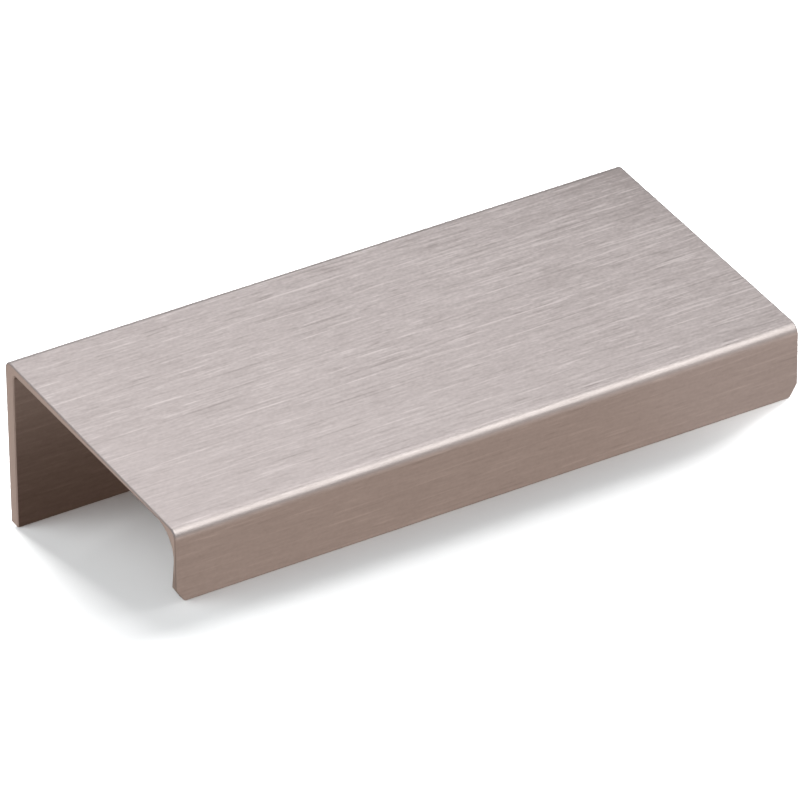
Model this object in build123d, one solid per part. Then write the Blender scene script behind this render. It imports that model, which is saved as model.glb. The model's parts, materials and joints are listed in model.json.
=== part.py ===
from build123d import *
import os
from math import acos, atan2, degrees, radians, tan

# Finger pull for a drawer front or cupboard door: one length of extruded aluminium.
# The tall leg hooks behind the door and is screwed to its back. The plate covers the door's top edge and
# stands out past its face. The short lip, turned down at the front, is what the fingers curl round.
# The section is drawn level, with its first axis towards the rear face and its second up from the top face.
# The finished pull is then tipped forward, as it comes to rest on the leg's foot and the lip's lower edge.

# Overall sizes, in millimetres
LENGTH = 80.0
DEPTH = 39.75
LEG_HEIGHT = 22.25
LIP_HEIGHT = 9.5

# Walls: the outer faces are square and the inner faces lean, so each wall changes in thickness
LEG_ROOT = 2.0
LEG_FOOT = 1.65
PLATE_ROOT = 1.2
PLATE_TIP = 0.55
LIP_WAIST = 0.6
LIP_FOOT = 1.35

# Roundings of the section
REAR_RADIUS = 1.3
FRONT_RADIUS = 1.35
GRIP_RADIUS = 3.4
ROOT_RADIUS = 0.7
EDGE_RADIUS = 0.25

# Ends: the sawn edges are broken, and the lip's lower corners are clipped
END_BREAK = 0.18
CLIP_LENGTH = 1.0
CLIP_HEIGHT = 1.7

# Screw holes through the leg, sunk from its rear face for flat-headed screws
HOLE_RADIUS = 2.0
HOLE_PITCH = 32.0
HOLE_RISE = 9.7
HOLE_LAND = 0.5
SINK_ANGLE = 90.0

# Corners of the section before rounding
foot_outer = Vector(0, -LEG_HEIGHT)
foot_inner = Vector(-LEG_FOOT, -LEG_HEIGHT)
root_outer = Vector(0, 0)
root_inner = Vector(-LEG_ROOT, -PLATE_ROOT)
nose = Vector(-DEPTH, 0)
lip_outer = Vector(-DEPTH, -LIP_HEIGHT)
lip_inner = Vector(-DEPTH + LIP_FOOT, -LIP_HEIGHT)

# The grip's arc leaves the plate PLATE_TIP thick and the lip LIP_WAIST thick where they are thinnest
grip_centre = Vector(-DEPTH + LIP_WAIST + GRIP_RADIUS, -PLATE_TIP - GRIP_RADIUS)


def touch_point(point, side):
    """Where a straight line from a corner touches the grip's circle, with side +1 above it or -1 below it."""
    reach = point - grip_centre
    swing = side * degrees(acos(GRIP_RADIUS / reach.length))
    return grip_centre + reach.normalized().rotate(Axis.Z, swing) * GRIP_RADIUS


def make_section():
    """The extruded section: a channel with a tall leg, a tapered plate and a hollow-backed lip."""
    grip_start = touch_point(lip_inner, -1)
    grip_end = touch_point(root_inner, 1)
    grip_way = (grip_start + grip_end) / 2 - grip_centre
    grip_middle = grip_centre + grip_way.normalized() * GRIP_RADIUS
    walls = Polyline(grip_end, root_inner, foot_inner, foot_outer, root_outer, nose, lip_outer, lip_inner, grip_start)
    section = make_face(walls + ThreePointArc(grip_start, grip_middle, grip_end))
    roundings = [
        (root_outer, REAR_RADIUS),
        (nose, FRONT_RADIUS),
        (root_inner, ROOT_RADIUS),
        (foot_outer, EDGE_RADIUS),
        (foot_inner, EDGE_RADIUS),
        (lip_outer, EDGE_RADIUS),
        (lip_inner, EDGE_RADIUS),
    ]
    for corner, radius in roundings:
        section = fillet(section.vertices().sort_by_distance(corner)[0], radius)
    return section


def lip_clip():
    """A three-cornered block that takes off the lip's lower corner at the right-hand end."""
    corner = (LENGTH / 2, -LIP_HEIGHT)
    along = (LENGTH / 2 - CLIP_LENGTH, -LIP_HEIGHT)
    up = (LENGTH / 2, -LIP_HEIGHT + CLIP_HEIGHT)
    outline = make_face(Polyline(corner, along, up, close=True))
    return extrude(Plane.XZ.offset(DEPTH) * outline, LIP_FOOT + LIP_WAIST, both=True)


def screw_hole():
    """A cutter for one screw hole in the middle of the length: a round bore with a sink at the rear face."""
    share = HOLE_RISE / (LEG_HEIGHT - PLATE_ROOT)
    wall = LEG_FOOT + (LEG_ROOT - LEG_FOOT) * share
    sink_depth = wall - HOLE_LAND
    sink_radius = HOLE_RADIUS + sink_depth * tan(radians(SINK_ANGLE / 2))
    bore = Cylinder(HOLE_RADIUS, 4 * wall)
    sink = Pos(0, 0, -sink_depth / 2) * Cone(HOLE_RADIUS, sink_radius, sink_depth)
    return Plane((0, 0, HOLE_RISE - LEG_HEIGHT), z_dir=(0, 1, 0)) * (bore + sink)


def rest_angle(section):
    """The forward tip, in degrees, that brings the foot's inner edge and the lip's outer edge to one level."""
    arcs = section.edges().filter_by(GeomType.CIRCLE)
    foot = arcs.sort_by_distance(foot_inner)[0].arc_center
    lip = arcs.sort_by_distance(lip_outer)[0].arc_center
    return degrees(atan2(lip.Y - foot.Y, foot.X - lip.X))


section = make_section()
pull = extrude(Plane.YZ * section, LENGTH / 2, both=True)
pull -= lip_clip()
pull -= mirror(lip_clip(), Plane.YZ)
pull = chamfer(pull.faces().filter_by(Axis.X).edges(), END_BREAK)
for place in (-HOLE_PITCH / 2, HOLE_PITCH / 2):
    pull -= Pos(place, 0, 0) * screw_hole()

# Laid at rest, with the middle of its box over the origin and the floor at zero height
pull = Rot(rest_angle(section), 0, 0) * pull
box = pull.bounding_box()
pull = Pos(-box.center().X, -box.center().Y, -box.min.Z) * pull

os.makedirs("parts", exist_ok=True)
export_step(pull, "parts/finger_pull.step")
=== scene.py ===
import json
from math import cos, radians, sin, tan

import bpy
import numpy as np
from mathutils import Matrix, Vector


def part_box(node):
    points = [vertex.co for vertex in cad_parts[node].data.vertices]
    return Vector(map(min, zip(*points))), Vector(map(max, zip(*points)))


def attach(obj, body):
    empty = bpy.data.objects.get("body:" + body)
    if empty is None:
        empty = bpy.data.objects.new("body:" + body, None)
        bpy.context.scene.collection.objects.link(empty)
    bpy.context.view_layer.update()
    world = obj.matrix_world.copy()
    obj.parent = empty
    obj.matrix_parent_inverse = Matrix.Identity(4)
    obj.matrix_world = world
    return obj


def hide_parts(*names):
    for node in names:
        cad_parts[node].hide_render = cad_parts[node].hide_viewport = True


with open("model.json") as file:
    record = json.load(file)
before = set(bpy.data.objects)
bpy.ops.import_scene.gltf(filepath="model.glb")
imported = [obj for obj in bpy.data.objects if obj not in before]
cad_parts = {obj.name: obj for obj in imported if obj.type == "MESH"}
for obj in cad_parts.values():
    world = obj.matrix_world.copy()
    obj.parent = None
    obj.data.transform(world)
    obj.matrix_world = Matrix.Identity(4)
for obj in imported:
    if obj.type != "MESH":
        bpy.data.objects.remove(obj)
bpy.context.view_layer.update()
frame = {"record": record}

# Sizes of the pull, in metres, as in the part's source
MM = 0.001
LENGTH = 80.0 * MM
DEPTH = 39.75 * MM
LEG_HEIGHT = 22.25 * MM
LIP_HEIGHT = 9.5 * MM
LEG_ROOT = 2.0 * MM
LEG_FOOT = 1.65 * MM
PLATE_ROOT = 1.2 * MM
PLATE_TIP = 0.55 * MM
LIP_WAIST = 0.6 * MM
LIP_FOOT = 1.35 * MM
REAR_RADIUS = 1.3 * MM
FRONT_RADIUS = 1.35 * MM
GRIP_RADIUS = 3.4 * MM
ROOT_RADIUS = 0.7 * MM
EDGE_RADIUS = 0.25 * MM
END_BREAK = 0.18 * MM
CLIP_LENGTH = 1.0 * MM
CLIP_HEIGHT = 1.7 * MM
HOLE_RADIUS = 2.0 * MM
HOLE_PITCH = 32.0 * MM
HOLE_RISE = 9.7 * MM
HOLE_LAND = 0.5 * MM
SINK_ANGLE = radians(90)
SINK_SLOPE = tan(SINK_ANGLE / 2)

# How finely the surfaces are divided
ARC_STEPS = 14
BREAK_STEPS = 4
FRAME_STEPS = 10
HOLE_FRAME = 4.8 * MM

# Corners that agree to this many decimals of a metre are merged
MERGE_DECIMALS = 8

# The camera, given for the pull with its plate level: it stands in front, to the left and above
VIEW_AZIMUTH = radians(-29.53)
VIEW_ELEVATION = radians(34.05)
VIEW_ROLL = radians(-0.62)
VIEW_DISTANCE = 1000.9 * MM
VIEW_TARGET = Vector((-6.03, -29.81, 0.0)) * MM
VIEW_CLIP = (0.05, 20.0)
LENS_MM = 405.0
SENSOR_MM = 36.0

# The streaks are cut from a solid noise, on planes turned askew and set this far apart
ASKEW = (0.6, 0.5, 0.4)
LAYER_STEP = 10

# The metal between its darkest and its palest strokes, and the table top with half its side in metres
DARK_METAL = (0.44, 0.387, 0.378, 1)
PALE_METAL = (0.70, 0.632, 0.622, 1)
TABLE_WHITE = (0.92, 0.92, 0.92, 1)
FLOOR_HALF = 5.0

# The tints of the lights, and how deep below the table the panels lie that the sides and ends mirror
WHITE = (1, 1, 1)
COOL = (0.94, 0.985, 1.0)
NOSE_TINT = (0.955, 0.97, 0.94)
CREAM = (1.0, 0.96, 0.92)
FAINT_WARM = (1.0, 0.95, 0.9)
PALE_WARM = (1.0, 0.905, 0.835)
WARM = (1.0, 0.87, 0.77)
PANEL_DEPTH = 20 * MM

# The world's horizon: how much it rises to the back, and the band of heights over which it fades
HORIZON_TILT = 0.2
HORIZON_BAND = (-0.1, 0.15)

NODE = "finger_pull"


# The level frame, and the way from it to the pull at rest

def rest_matrix():
    """The turn and shift from the level frame to the pull at rest.

    In the level frame X runs along the length, Y towards the rear face and Z up, from the middle of the top
    rear edge. The turn is the screw holes' slope. The shift sets the rear rounding under the box's top and
    the front rounding behind the box's front.
    """
    hole_axis = frame["record"]["mounts"][0]["axis"]
    cosine, sine = hole_axis[1:]
    low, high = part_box(NODE)
    back = low.y + FRONT_RADIUS + (DEPTH - FRONT_RADIUS) * cosine - FRONT_RADIUS * sine
    up = high.z - REAR_RADIUS * (1 - sine - cosine)
    turn = Matrix(((1, 0, 0, 0), (0, cosine, -sine, 0), (0, sine, cosine, 0), (0, 0, 0, 1)))
    return Matrix.Translation((0, back, up)) @ turn


REST = rest_matrix()
TIP = REST.to_euler().x


# The section, as arrays of points and outward normals in the level frame's (Y, Z)

def unit(v):
    """Vectors scaled to length one along the last axis."""
    return v / np.linalg.norm(v, axis=-1, keepdims=True)


def crossing(a, b, c, d):
    """The point where the line through a and b meets the line through c and d."""
    ab = np.subtract(b, a)
    cd = np.subtract(d, c)
    ac = np.subtract(c, a)
    along = (ac[0] * cd[1] - ac[1] * cd[0]) / (ab[0] * cd[1] - ab[1] * cd[0])
    return np.add(a, ab * along)


def touch_point(point, centre, radius, side):
    """Where a straight line from a point touches a circle.

    From the centre it lies one radius along the way to the point, swung by acos(radius / distance).
    """
    reach = np.subtract(point, centre)
    distance = np.hypot(*reach)
    swing = side * np.arccos(radius / distance)
    turned = np.array([reach[0] * np.cos(swing) - reach[1] * np.sin(swing),
                       reach[0] * np.sin(swing) + reach[1] * np.cos(swing)])
    return centre + turned * radius / distance


def section_corners():
    """The eight corners of the section before rounding, in order round it, with their radii."""
    root_inner = np.array([-LEG_ROOT, -PLATE_ROOT])
    lip_inner = np.array([-DEPTH + LIP_FOOT, -LIP_HEIGHT])
    grip_centre = np.array([-DEPTH + LIP_WAIST + GRIP_RADIUS, -PLATE_TIP - GRIP_RADIUS])
    at_lip = touch_point(lip_inner, grip_centre, GRIP_RADIUS, -1)
    at_plate = touch_point(root_inner, grip_centre, GRIP_RADIUS, 1)
    grip = crossing(lip_inner, at_lip, root_inner, at_plate)
    corners = np.array([(0, -LEG_HEIGHT), (0, 0), (-DEPTH, 0), (-DEPTH, -LIP_HEIGHT),
                        lip_inner, grip, root_inner, (-LEG_FOOT, -LEG_HEIGHT)])
    radii = np.array([EDGE_RADIUS, REAR_RADIUS, FRONT_RADIUS, EDGE_RADIUS,
                      EDGE_RADIUS, GRIP_RADIUS, ROOT_RADIUS, EDGE_RADIUS])
    return corners, radii


def rounded_corners(corners, radii):
    """Each corner as an arc, with its outward normals: arrays of corner by step by (Y, Z).

    An arc's centre lies on the corner's bisector, radius / sin(half angle) away. Its points are the centre
    plus the radius times a direction that turns evenly from one side's foot to the other's.
    """
    before = unit(np.roll(corners, 1, axis=0) - corners)
    after = unit(np.roll(corners, -1, axis=0) - corners)
    half = np.arccos(np.sum(before * after, axis=1)) / 2
    centre = corners + unit(before + after) * (radii / np.sin(half))[:, None]
    foot = (radii / np.tan(half))[:, None]
    start = unit(corners + before * foot - centre)
    end = unit(corners + after * foot - centre)
    sweep = (np.pi - 2 * half)[:, None]
    share = np.linspace(0, 1, ARC_STEPS + 1)[None, :]
    way = (np.sin((1 - share) * sweep) / np.sin(sweep))[..., None] * start[:, None, :]
    way = way + (np.sin(share * sweep) / np.sin(sweep))[..., None] * end[:, None, :]
    turn = after[:, 0] * before[:, 1] - after[:, 1] * before[:, 0]
    outward = np.sign(turn)[:, None, None] * way
    return centre[:, None, :] + radii[:, None, None] * way, outward


def straight(a, b, shares):
    """Points between a and b at the given shares of the way."""
    return a + (b - a) * np.asarray(shares)[:, None]


def leg_shares(a, b):
    """Shares of the way up the leg at which the frame round the screw holes has its rows."""
    middle = HOLE_RISE - LEG_HEIGHT
    rows = np.linspace(middle - HOLE_FRAME, middle + HOLE_FRAME, FRAME_STEPS + 1)
    return (rows - a[1]) / (b[1] - a[1])


def lip_shares(a, b):
    """The share of the way down the lip at which its clipped corner starts."""
    return [(-LIP_HEIGHT + CLIP_HEIGHT - a[1]) / (b[1] - a[1])]


def wall_side(arcs, normals):
    """One side of the wall, from the leg's foot to the lip's: four arcs and the straight runs between.

    A straight run carries the normal that the arc before it ends with.
    """
    runs = [leg_shares(arcs[0][-1], arcs[1][0]), [], lip_shares(arcs[2][-1], arcs[3][0])]
    points = []
    ways = []
    for n, shares in enumerate(runs):
        points += [arcs[n], straight(arcs[n][-1], arcs[n + 1][0], shares)]
        ways += [normals[n], np.repeat(normals[n][-1:], len(shares), axis=0)]
    return np.concatenate(points + [arcs[3]]), np.concatenate(ways + [normals[3]])


def section_sides():
    """The outer and inner sides of the wall, point for point, with their outward normals."""
    arcs, normals = rounded_corners(*section_corners())
    outer = wall_side(arcs[:4], normals[:4])
    back = slice(None, None, -1)
    inner = wall_side(arcs[:3:-1, back], normals[:3:-1, back])
    return outer, inner


# Sheets of quads: each is a pair of arrays, corner points and corner normals, of shape (quads, 4, 3)

def grid_sheet(points, normals, keep=None):
    """A grid of points as quads, with a normal for each corner, less the quads that keep leaves out."""
    def corners(a):
        return np.stack([a[:-1, :-1], a[1:, :-1], a[1:, 1:], a[:-1, 1:]], axis=2)
    quads = corners(points)
    ways = corners(np.broadcast_to(normals, points.shape))
    chosen = np.ones(quads.shape[:2], bool) if keep is None else keep
    return quads[chosen], ways[chosen]


def flat_sheet(points):
    """A grid of points as quads that are shaded flat, with each quad's own normal at its corners."""
    quads = grid_sheet(points, points)[0]
    ways = unit(np.cross(quads[:, 2] - quads[:, 0], quads[:, 3] - quads[:, 1]))
    return quads, np.repeat(ways[:, None, :], 4, axis=1)


def lift(x, yz):
    """Points of the level frame from an X and a (Y, Z), spread over each other."""
    x = np.broadcast_to(x, yz.shape[:-1])
    return np.concatenate([x[..., None], yz], axis=-1)


def end_reach(yz):
    """Half the length at each point of the section: shorter where the lip's lower corner is clipped."""
    on_lip = yz[..., 0] < -DEPTH + 2 * LIP_FOOT
    depth = np.clip((-LIP_HEIGHT + CLIP_HEIGHT - yz[..., 1]) / CLIP_HEIGHT, 0, 1)
    return LENGTH / 2 - CLIP_LENGTH * depth * on_lip


def length_stations():
    """Places along the length at which the frames round the two screw holes have their columns."""
    frame_columns = np.linspace(-HOLE_FRAME, HOLE_FRAME, FRAME_STEPS + 1)
    return np.concatenate([frame_columns - HOLE_PITCH / 2, frame_columns + HOLE_PITCH / 2])


def swept_wall(loop, normals, leg_rows):
    """The section carried along the length and turned in at both ends by the edge break's quarter round.

    A point's X is its station, and at the ends it is the half length there less
    END_BREAK * (1 - sin(turn)). Near the ends the point also goes into the metal by
    END_BREAK * (1 - cos(turn)).
    """
    turn = np.linspace(0, np.pi / 2, BREAK_STEPS + 1)[:, None]
    reach = end_reach(loop)[None, :]
    end_x = reach - END_BREAK * (1 - np.sin(turn))
    inset = END_BREAK * (1 - np.cos(turn))
    end_yz = loop[None] - normals[None] * inset[..., None]
    end_ways = np.concatenate([np.broadcast_to(np.sin(turn), end_x.shape)[..., None],
                               normals[None] * np.cos(turn)[..., None]], axis=-1)
    stations = length_stations()[:, None]
    middle = lift(stations, np.broadcast_to(loop, (len(stations), *loop.shape)))
    middle_ways = lift(0.0, np.broadcast_to(normals, (len(stations), *loop.shape)))
    right = lift(end_x, end_yz)
    mirror = np.array([-1, 1, 1])
    points = np.concatenate([right[::-1] * mirror, middle, right])
    ways = np.concatenate([end_ways[::-1] * mirror, middle_ways, end_ways])
    keep = np.ones((len(points) - 1, len(loop) - 1), bool)
    first = len(turn)
    for start in (first, first + FRAME_STEPS + 1):
        for row in leg_rows:
            keep[start:start + FRAME_STEPS, row:row + FRAME_STEPS] = False
    return grid_sheet(points, ways, keep), right[-1]


def end_caps(rim, half):
    """The two sawn ends: the rim's outer and inner points joined straight across the wall."""
    across = np.stack([rim[:half], rim[:half - 1:-1]], axis=1)
    cap = flat_sheet(across)
    mirrored = flat_sheet(across * np.array([-1, 1, 1]))
    return [cap, mirrored]


def square_ring():
    """Points round a square of half side one, FRAME_STEPS to a side, and their directions from its middle."""
    run = np.linspace(-1, 1, FRAME_STEPS + 1)[:-1]
    one = np.ones_like(run)
    square = np.concatenate([np.stack([run, -one], 1), np.stack([one, run], 1),
                             np.stack([-run, one], 1), np.stack([-one, -run], 1)])
    square = np.concatenate([square, square[:1]])
    return square, unit(square)


def inner_face_y(z):
    """Y of the leg's leaning inner face at a height."""
    share = (z + LEG_HEIGHT) / (LEG_HEIGHT - PLATE_ROOT)
    return -(LEG_FOOT + (LEG_ROOT - LEG_FOOT) * share)


def screw_hole(x, outer_way, inner_way):
    """A screw hole: a flat ring from the square frame to the sink's mouth, the sink, the bore, a flat ring.

    Each flat ring runs straight from a point of the square to the circle's point in the same direction.
    """
    square, circle = square_ring()
    middle = HOLE_RISE - LEG_HEIGHT
    sink_depth = -inner_face_y(middle) - HOLE_LAND
    mouth = HOLE_RADIUS + sink_depth * SINK_SLOPE

    def at(flat, y=None):
        z = middle + flat[:, 1]
        y = inner_face_y(z) if y is None else np.full_like(z, y)
        return np.stack([x + flat[:, 0], y, z], axis=1)

    outside = np.stack([at(square * HOLE_FRAME, 0.0), at(circle * mouth, 0.0)])
    sink = np.stack([at(circle * mouth, 0.0), at(circle * HOLE_RADIUS, -sink_depth)])
    bore = np.stack([at(circle * HOLE_RADIUS, -sink_depth), at(circle * HOLE_RADIUS)])
    inside = np.stack([at(circle * HOLE_RADIUS), at(square * HOLE_FRAME)])
    inward = np.stack([-circle[:, 0], np.zeros(len(circle)), -circle[:, 1]], axis=1)
    sink_way = unit(inward + np.array([0, SINK_SLOPE, 0]))
    return [grid_sheet(outside, np.array([0, *outer_way])), grid_sheet(sink, sink_way),
            grid_sheet(bore, inward), grid_sheet(inside, np.array([0, *inner_way]))]


def pull_sheets():
    """Every sheet of the pull's skin, in the level frame."""
    (outer, outer_ways), (inner, inner_ways) = section_sides()
    half = len(outer)
    loop = np.concatenate([outer, inner[::-1], outer[:1]])
    ways = np.concatenate([outer_ways, inner_ways[::-1], outer_ways[:1]])
    leg_row = ARC_STEPS + 1
    inner_row = 2 * half - 1 - leg_row - FRAME_STEPS
    wall, rim = swept_wall(loop, ways, (leg_row, inner_row))
    sheets = [wall] + end_caps(rim[:-1], half)
    for x in (-HOLE_PITCH / 2, HOLE_PITCH / 2):
        sheets += screw_hole(x, outer_ways[leg_row], inner_ways[leg_row])
    return sheets


def skin_mesh(name, sheets, place):
    """One closed mesh from sheets of quads: equal corners are merged, and quads that face inwards turned.

    The corner normals are kept as the mesh's own, so the roundings shade smoothly and the flats stay flat.
    """
    quads = np.concatenate([s[0] for s in sheets])
    ways = np.concatenate([s[1] for s in sheets])
    facing = np.cross(quads[:, 2] - quads[:, 0], quads[:, 3] - quads[:, 1])
    inwards = np.sum(facing * ways.sum(axis=1), axis=1) < 0
    quads[inwards] = quads[inwards, ::-1]
    ways[inwards] = ways[inwards, ::-1]
    turn = np.array(place.to_3x3())
    points = quads.reshape(-1, 3) @ turn.T + np.array(place.translation)
    normals = unit(ways.reshape(-1, 3) @ turn.T)
    merged, corner = np.unique(np.round(points, MERGE_DECIMALS), axis=0, return_inverse=True)
    mesh = bpy.data.meshes.new(name)
    mesh.from_pydata(merged, [], corner.reshape(-1, 4))
    mesh.update()
    mesh.shade_smooth()
    mesh.normals_split_custom_set(normals)
    return mesh


def add_object(name, mesh, finish):
    """A new object at the origin with a mesh and one finish."""
    thing = bpy.data.objects.new(name, mesh)
    bpy.context.scene.collection.objects.link(thing)
    mesh.materials.append(finish)
    return thing


# Finishes

class Value:
    """A number that varies over a surface: arithmetic on it adds Math nodes to its finish."""

    def __init__(self, finish, socket):
        self.finish = finish
        self.socket = socket

    def __add__(self, other):
        return self.finish.maths("ADD", self, other)

    def __sub__(self, other):
        return self.finish.maths("SUBTRACT", self, other)

    def __rsub__(self, other):
        return self.finish.maths("SUBTRACT", other, self)

    def __mul__(self, other):
        return self.finish.maths("MULTIPLY", self, other)

    def __abs__(self):
        return self.finish.maths("ABSOLUTE", self)

    __radd__ = __add__
    __rmul__ = __mul__


class Finish:
    """The nodes of a material or of the world, and the one method that adds to them."""

    def __init__(self, owner):
        self.owner = owner
        self.owner.use_nodes = True
        self.tree = self.owner.node_tree
        self.tree.nodes.clear()

    def node(self, kind, settings=None, sockets=None, out=0):
        """Adds a node of a type, sets its settings, then fills its sockets with numbers, colours or links."""
        made = self.tree.nodes.new(kind)
        for key, value in (settings or {}).items():
            setattr(made, key, value)
        for key, value in (sockets or {}).items():
            if isinstance(value, Value):
                self.tree.links.new(value.socket, made.inputs[key])
            else:
                made.inputs[key].default_value = value
        return Value(self, made.outputs[out]) if len(made.outputs) else made

    def maths(self, operation, *terms):
        """A Math node on one or two values or numbers."""
        return self.node("ShaderNodeMath", {"operation": operation}, dict(enumerate(terms)))

    def ramp(self, value, low, high):
        """How far a value has come from low to high, eased, from 0 to 1."""
        return self.node("ShaderNodeMapRange", {"interpolation_type": "SMOOTHSTEP"},
                         {"Value": value, "From Min": low, "From Max": high})

    def grain(self, place, layer, length, width):
        """Soft noise about zero, in cells of a length and a width, on one of the planes cut askew."""
        cell = self.node("ShaderNodeMapping", None, {
            "Vector": place, "Location": (0, 0, LAYER_STEP * layer),
            "Rotation": ASKEW, "Scale": (1 / length, 1 / width, 1)})
        return self.node("ShaderNodeTexNoise", None, {"Vector": cell, "Scale": 1.0, "Detail": 0.0}) - 0.5

    def mix(self, share, first, second):
        """A colour between two, by a share: a Mix node's sockets 0, 6 and 7, and its output 2."""
        return self.node("ShaderNodeMix", {"data_type": "RGBA"}, {0: share, 6: first, 7: second}, out=2)

    def show(self, shader, output="ShaderNodeOutputMaterial"):
        """Makes a shader what is seen."""
        self.node(output, None, {"Surface": shader})
        return self.owner


def brushed_aluminium():
    """Aluminium anodised to a warm steel shade, brushed lengthwise on top and smoother on the other faces.

    The streaks are noises in long thin cells. The lines and dashes are cubed, so that most of the face stays
    quiet and a few strokes stand out. The cut deepens towards the right and the rear, and the corner between
    them is darkened with painted shade, which stands in for the top's mirrored light falling off there.
    """
    finish = Finish(bpy.data.materials.new("brushed_aluminium"))
    place = finish.node("ShaderNodeTexCoord", out="Object")
    level = finish.node("ShaderNodeMapping", {"vector_type": "TEXTURE"},
                        {"Vector": place, "Location": REST.translation, "Rotation": (TIP, 0, 0)})
    along, depth, height = (finish.node("ShaderNodeSeparateXYZ", None, {0: level}, out=n) for n in range(3))
    face = finish.node("ShaderNodeCombineXYZ", None, {"X": along, "Y": depth + height})

    # Where the sawn ends and the brushed top are, from 0 to 1
    on_end = finish.ramp(abs(along), LENGTH / 2 - 1.3 * END_BREAK, LENGTH / 2 - 0.6 * END_BREAK)
    brushed = finish.ramp(height, -0.4 * MM, -0.02 * MM) * (1 - on_end)

    line = finish.grain(face, 1, 12 * MM, 0.34 * MM)
    dash = finish.grain(face, 2, 3 * MM, 0.33 * MM)
    hair = finish.grain(face, 3, 4 * MM, 0.35 * MM)
    fleck = finish.grain(face, 4, 1.2 * MM, 0.35 * MM)
    speck = finish.grain(face, 7, 0.4 * MM, 0.3 * MM)
    glint = finish.ramp(finish.grain(face, 5, 6 * MM, 0.32 * MM), 0.14, 0.34)
    patch = finish.grain(face, 6, 14 * MM, 2.4 * MM)
    strokes = line * line * line * 10 + dash * dash * dash * 9
    brush = strokes + hair * 0.36 + fleck * 0.36 + speck * 0.4 + glint * 0.42 - 0.02
    cut = 1.17 + along * 8.5 + depth * 9.4
    # Painted shade: the base colour darkens towards the top's right rear corner, where the mirrored light
    # falls off
    painted_corner_shade = finish.ramp(along + depth, 19 * MM, 40 * MM)
    strength = cut * brushed + 0.5 * (1 - brushed) - 0.4 * on_end
    shade = 0.5 + brush * strength + patch * 0.15 - painted_corner_shade * 0.45
    relief = brush * brushed

    groove = finish.node("ShaderNodeBump", None, {
        "Strength": 0.1, "Distance": 0.02 * MM, "Height": relief})
    metal = finish.node("ShaderNodeBsdfPrincipled", None, {
        "Base Color": finish.mix(shade, DARK_METAL, PALE_METAL), "Metallic": 1.0,
        "Roughness": 0.38 - relief * 0.1, "Normal": groove})
    return finish.show(metal)


def pale_floor():
    """Matt white table top."""
    finish = Finish(bpy.data.materials.new("pale_floor"))
    return finish.show(finish.node("ShaderNodeBsdfPrincipled", None, {
        "Base Color": TABLE_WHITE, "Roughness": 0.9, "Specular IOR Level": 0.0}))


# The scene

def way_to(azimuth, elevation):
    """The direction from the pull towards a place, with azimuth 0 in front and 90 to the right."""
    return Vector((sin(azimuth) * cos(elevation), -cos(azimuth) * cos(elevation), sin(elevation)))


def add_camera():
    """The camera, set level with the plate and then tipped with the pull."""
    back = way_to(VIEW_AZIMUTH, VIEW_ELEVATION)
    turn = (-back).to_track_quat("-Z", "Y").to_matrix().to_4x4() @ Matrix.Rotation(VIEW_ROLL, 4, "Z")
    lens = bpy.data.cameras.new("camera")
    lens.lens = LENS_MM
    lens.sensor_width = SENSOR_MM
    lens.clip_start, lens.clip_end = VIEW_CLIP
    camera = bpy.data.objects.new("camera", lens)
    camera.matrix_world = REST @ Matrix.Translation(VIEW_TARGET + back * VIEW_DISTANCE) @ turn
    bpy.context.scene.collection.objects.link(camera)
    bpy.context.scene.camera = camera


def add_light(name, place, way, size, radiance, lights, colour=WHITE):
    """A soft oblong light at a place that shines against a direction, with the brightness of its face given.

    It lights only the matt floor, or is seen only in the metal.
    """
    lamp = bpy.data.lights.new(name, "AREA")
    lamp.shape = "RECTANGLE"
    lamp.size, lamp.size_y = size
    lamp.energy = radiance * np.pi * size[0] * size[1]
    lamp.color = colour
    light = bpy.data.objects.new(name, lamp)
    light.matrix_world = Matrix.Translation(place) @ way.to_track_quat("Z", "Y").to_matrix().to_4x4()
    bpy.context.scene.collection.objects.link(light)
    light.visible_camera = False
    light.visible_glossy = lights == "metal"
    light.visible_diffuse = lights == "floor"


def add_softbox(name, azimuth, elevation, distance, size, radiance, lights, colour=WHITE):
    """A soft light that faces the pull from a direction in degrees, at a distance in metres."""
    way = way_to(radians(azimuth), radians(elevation))
    add_light(name, way * distance, way, size, radiance, lights, colour)


def add_low_panel(name, middle, size, radiance, colour=WARM, depth=PANEL_DEPTH):
    """A panel below the table that shines up and is seen only in the metal."""
    add_light(name, Vector((*middle, -depth)), Vector((0, 0, -1)), size, radiance, "metal", colour)


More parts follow.
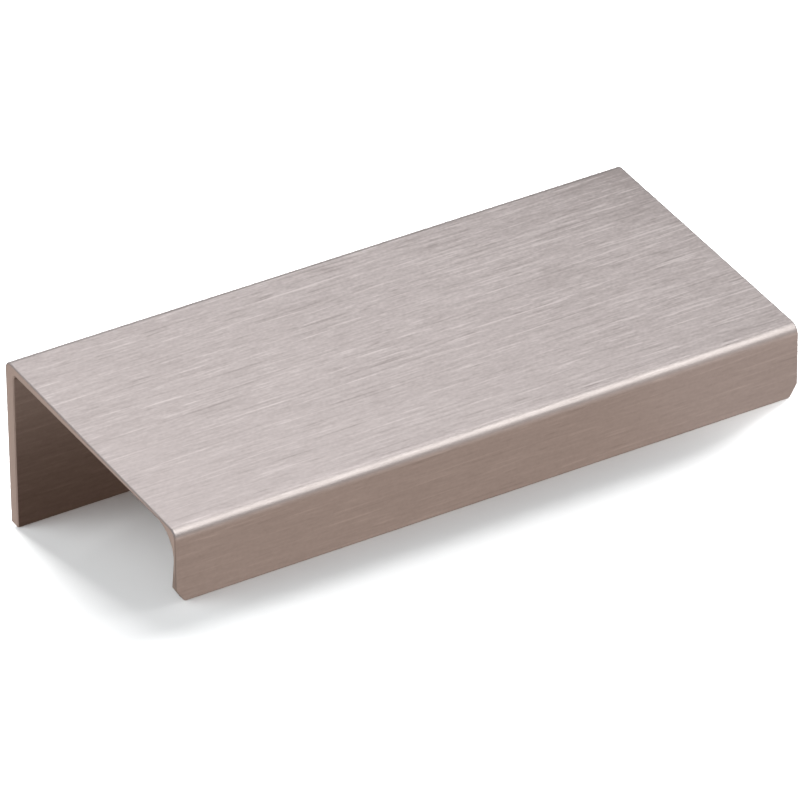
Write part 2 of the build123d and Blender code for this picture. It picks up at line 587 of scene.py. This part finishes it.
def light_metal():
    """What the metal mirrors: softboxes above and in front, panels all round it and panels below the table.

    The far panel lies just over the two in front of the lip and shades all but their near strip.
    """
    add_softbox("top_softbox", 146, 73, 0.36, (0.32, 0.32), 1.1, "metal")
    add_softbox("nose_strip", 31, 44, 0.6, (0.5, 0.46), 1.7, "metal", NOSE_TINT)
    add_softbox("front_panel", 40, 10, 0.35, (0.3, 0.15), 0.38, "metal", CREAM)
    add_softbox("back_panel", 180, 19, 0.8, (1.8, 0.3), 0.55, "metal")
    add_softbox("left_panel", -84, 14, 0.8, (0.6, 0.3), 0.55, "metal")
    add_softbox("right_panel", 84, 14, 0.8, (0.6, 0.3), 0.55, "metal")
    add_softbox("rear_left_panel", -130, 40, 0.8, (0.6, 0.5), 0.35, "metal")
    add_low_panel("left_low_panel", (-0.245, 0.305), (0.4, 0.6), 0.59)
    add_low_panel("right_low_panel", (0.2, 0.15), (0.3, 0.32), 0.55)
    add_low_panel("low_front_panel", (-0.083, -0.126), (0.236, 0.226), 0.425)
    add_low_panel("low_right_panel", (0.153, -0.126), (0.236, 0.226), 0.5, PALE_WARM)
    add_low_panel("low_far_panel", (0.035, -0.148), (0.47, 0.184), 0.13, FAINT_WARM, PANEL_DEPTH - 1 * MM)


def light_floor():
    """The lights that fall on the table top and cast the pull's shadow. A small one clears its right end."""
    add_softbox("left_light", -116, 32, 0.8, (1.4, 0.8), 1.85, "floor", COOL)
    add_softbox("right_light", 111, 22, 1.0, (0.3, 0.3), 50.0, "floor")
    add_softbox("rear_light", 167, 25.5, 1.0, (0.3, 0.2), 110.0, "floor")
    add_softbox("front_light", -30, 30, 1.0, (0.6, 0.6), 1.9, "floor")
    add_softbox("front_right_light", 62, 22, 1.0, (0.5, 0.4), 2.6, "floor")
    over_end = Vector((44, -28, 14)) * MM
    add_light("right_end_fill", over_end, Vector((0, 0, 1)), (12 * MM, 12 * MM), 4.8, "floor")


def add_world(above, below):
    """Even light from above a horizon that rises to the back, and what the metal mirrors from below it."""
    finish = Finish(bpy.data.worlds.new("studio"))
    way = finish.node("ShaderNodeTexCoord")
    back, rise = (finish.node("ShaderNodeSeparateXYZ", None, {0: way}, out=n) for n in (1, 2))
    share = finish.ramp(rise - back * HORIZON_TILT, *HORIZON_BAND)
    sky = finish.node("ShaderNodeBackground", None, {"Color": finish.mix(share, (*below, 1), (*above, 1))})
    bpy.context.scene.world = finish.show(sky, "ShaderNodeOutputWorld")


def floor_mesh(half):
    """A flat square at height zero."""
    mesh = bpy.data.meshes.new("floor")
    corners = [(-half, -half, 0), (half, -half, 0), (half, half, 0), (-half, half, 0)]
    mesh.from_pydata(corners, [], [(0, 1, 2, 3)])
    return mesh


pull = add_object("pull", skin_mesh("pull", pull_sheets(), REST), brushed_aluminium())
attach(pull, "root")
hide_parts(NODE)

floor = add_object("floor", floor_mesh(FLOOR_HALF), pale_floor())

# The metal mirrors the panels below the table in place of the white table top, so their light passes it
floor.visible_glossy = False
floor.visible_shadow = False

add_camera()
light_metal()
light_floor()
add_world(above=(0.3, 0.3, 0.3), below=(0.075, 0.045, 0.03))
bpy.context.scene.view_settings.view_transform = "Standard"
